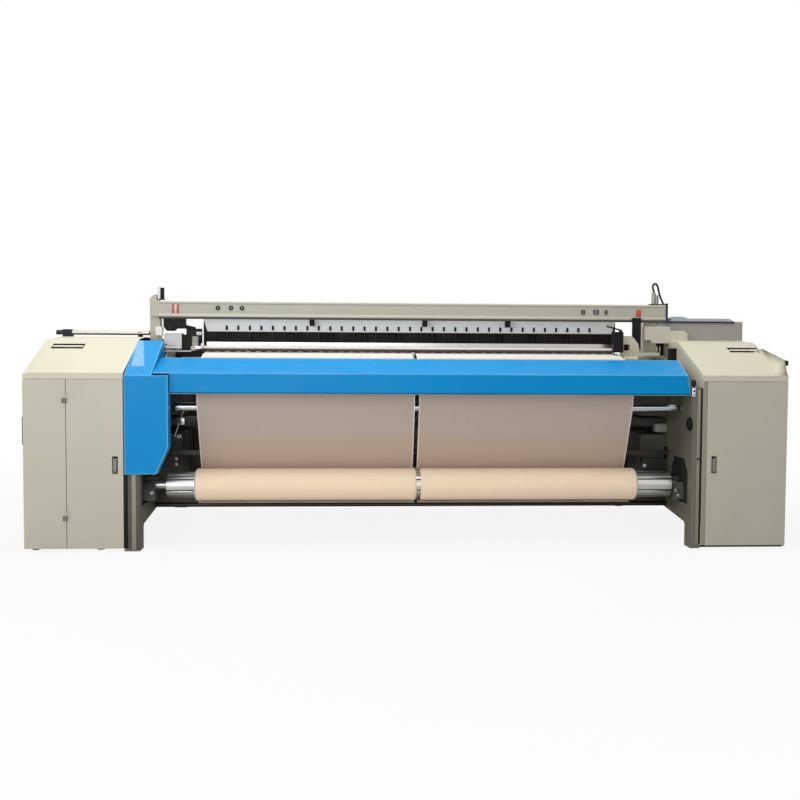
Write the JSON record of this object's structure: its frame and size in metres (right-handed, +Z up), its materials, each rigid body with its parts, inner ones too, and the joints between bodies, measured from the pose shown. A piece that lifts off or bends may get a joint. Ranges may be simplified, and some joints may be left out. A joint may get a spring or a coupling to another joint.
{
  "type": "power loom",
  "caption": "Wide air-jet power loom with cabinets at both ends, blue beam cover, top rail, reed and heald frames, two cloths side by side and a cloth roll below.",
  "frame": {"origin": "on the floor, under the middle of the machine's overall box", "axes": "+X from the left cabinet to the right one as the weaver sees them, +Y from the weaver to the back, +Z up"},
  "size_m": [4.84, 1.828, 1.7328],
  "materials": {
    "cabinet_paint": "satin powder coat, warm light grey",
    "top_paint": "satin powder coat, cream",
    "blue_paint": "gloss paint, light blue",
    "frame_paint": "satin machine paint, grey",
    "rail_paint": "satin paint, light grey",
    "dark_steel": "oiled dark steel",
    "bright_steel": "ground steel",
    "chrome": "polished chrome",
    "cast_part": "machined casting",
    "aluminium": "drawn aluminium profile",
    "black_plastic": "fine matte",
    "white_plastic": "gloss",
    "grey_plastic": "fine matte",
    "grip_rubber": "matt grip covering",
    "belt_rubber": "matt",
    "cloth": "plain weave, undyed",
    "cloth_wound": "plain weave, undyed, wound tight",
    "yarn": "undyed warp yarn"
  },
  "bodies": {
    "machine": {"left_side_frame": "frame_paint", "right_side_frame": "frame_paint", "breast_beam": "cast_part", "cross_members": "dark_steel", "selvedge_units": "black_plastic", "left_top_cover": "top_paint", "right_top_cover": "top_paint", "left_outer_panel": "cabinet_paint", "right_outer_panel": "cabinet_paint", "right_inner_panel": "cabinet_paint", "cabinet_rear_panels": "cabinet_paint", "cabinet_base_plates": "dark_steel", "left_front_panel": "cabinet_paint", "door_hinges": "bright_steel", "side_handles": "black_plastic", "left_end_cover": "blue_paint", "beam_cover": "blue_paint", "top_rail": "rail_paint", "rail_columns": "rail_paint", "left_signal_unit": "white_plastic", "right_signal_unit": "grey_plastic", "rail_fittings": "black_plastic", "temple_tube": "aluminium", "nozzle_housing": "white_plastic", "cutter_block": "black_plastic", "selvedge_bracket": "cast_part", "stepped_housing": "rail_paint", "control_box": "grey_plastic", "control_box_lid": "grey_plastic", "rear_clamp_bar": "dark_steel", "roll_bearings": "cast_part", "rear_brackets": "cast_part", "drop_wire_bank": "bright_steel", "drive_box": "cast_part", "main_motor": "frame_paint", "drive_belt": "belt_rubber", "take_up_drive": "cast_part", "cloth_left": "cloth", "cloth_right": "cloth", "warp_sheet": "yarn"},
    "left_door": {"left_door": "cabinet_paint"},
    "left_latch": {"left_latch": "black_plastic"},
    "right_door": {"right_door": "cabinet_paint"},
    "right_latch": {"right_latch": "black_plastic"},
    "sley": {"sley": "cast_part", "reed": "bright_steel"},
    "heald_1": {"heald_frame_1": "aluminium"},
    "heald_2": {"heald_frame_2": "aluminium"},
    "heald_3": {"heald_frame_3": "aluminium"},
    "heald_4": {"heald_frame_4": "aluminium"},
    "take_up": {"take_up_roller": "grip_rubber"},
    "press": {"press_roller": "grip_rubber"},
    "guide": {"guide_roller": "chrome"},
    "cloth_roll": {"cloth_tube": "bright_steel", "cloth_winding": "cloth_wound"},
    "warp": {"warp_beam": "aluminium", "warp_yarn": "yarn"},
    "back_rest": {"back_rest_roller": "bright_steel"},
    "main_shaft": {"drive_pulley": "cast_part"},
    "motor_shaft": {"motor_pulley": "cast_part"}
  },
  "joints": [
    {"name": "left_door_swing", "type": "hinge", "parent": "machine", "child": "left_door", "pos_m": [-2.118, -0.9075, 0.54], "axis": [0, 0, -1], "range_deg": [0, 100]},
    {"name": "right_door_swing", "type": "hinge", "parent": "machine", "child": "right_door", "pos_m": [2.363, -0.892, 0.54], "axis": [0, 0, 1], "range_deg": [0, 100]},
    {"name": "left_latch_pull", "type": "hinge", "parent": "left_door", "child": "left_latch", "pos_m": [-1.825, -0.893, 0.566], "axis": [-1, 0, 0], "range_deg": [0, 60]},
    {"name": "right_latch_pull", "type": "hinge", "parent": "right_door", "child": "right_latch", "pos_m": [1.906, -0.893, 0.566], "axis": [-1, 0, 0], "range_deg": [0, 60]},
    {"name": "sley_rock", "type": "hinge", "parent": "machine", "child": "sley", "pos_m": [0, -0.26, 0.76], "axis": [1, 0, 0], "range_deg": [-8, 8]},
    {"name": "heald_1_lift", "type": "slide", "parent": "machine", "child": "heald_1", "axis": [0, 0, 1], "range_m": [-0.035, 0.035]},
    {"name": "heald_2_lift", "type": "slide", "parent": "machine", "child": "heald_2", "axis": [0, 0, 1], "range_m": [-0.035, 0.035]},
    {"name": "heald_3_lift", "type": "slide", "parent": "machine", "child": "heald_3", "axis": [0, 0, 1], "range_m": [-0.035, 0.035]},
    {"name": "heald_4_lift", "type": "slide", "parent": "machine", "child": "heald_4", "axis": [0, 0, 1], "range_m": [-0.035, 0.035]},
    {"name": "take_up_turn", "type": "hinge", "parent": "machine", "child": "take_up", "pos_m": [0, -0.61, 1.04], "axis": [1, 0, 0], "continuous": true},
    {"name": "press_turn", "type": "hinge", "parent": "machine", "child": "press", "pos_m": [0, -0.7224, 1.04], "axis": [1, 0, 0], "continuous": true},
    {"name": "guide_turn", "type": "hinge", "parent": "machine", "child": "guide", "pos_m": [0, -0.7, 0.881], "axis": [1, 0, 0], "continuous": true},
    {"name": "cloth_roll_turn", "type": "hinge", "parent": "machine", "child": "cloth_roll", "pos_m": [0, -0.62, 0.376], "axis": [1, 0, 0], "continuous": true},
    {"name": "warp_beam_turn", "type": "hinge", "parent": "machine", "child": "warp", "pos_m": [0, 0.494, 0.64], "axis": [1, 0, 0], "continuous": true},
    {"name": "back_rest_turn", "type": "hinge", "parent": "machine", "child": "back_rest", "pos_m": [0, 0.6, 1.13], "axis": [1, 0, 0], "continuous": true},
    {"name": "main_shaft_turn", "type": "hinge", "parent": "machine", "child": "main_shaft", "pos_m": [-1.935, 0, 0.72], "axis": [1, 0, 0], "continuous": true},
    {"name": "motor_turn", "type": "hinge", "parent": "machine", "child": "motor_shaft", "pos_m": [-1.935, 0, 0.27], "axis": [1, 0, 0], "continuous": true}
  ],
  "couplings": [
    {"joint": "take_up_turn", "follows": "cloth_roll_turn", "ratio": 1.2967},
    {"joint": "press_turn", "follows": "cloth_roll_turn", "ratio": -3.3948},
    {"joint": "guide_turn", "follows": "cloth_roll_turn", "ratio": -3.8996},
    {"joint": "back_rest_turn", "follows": "warp_beam_turn", "ratio": 5.2607},
    {"joint": "motor_turn", "follows": "main_shaft_turn", "ratio": 2.7081},
    {"joint": "heald_2_lift", "follows": "heald_1_lift", "ratio": -1},
    {"joint": "heald_3_lift", "follows": "heald_1_lift", "ratio": 1},
    {"joint": "heald_4_lift", "follows": "heald_1_lift", "ratio": -1}
  ]
}
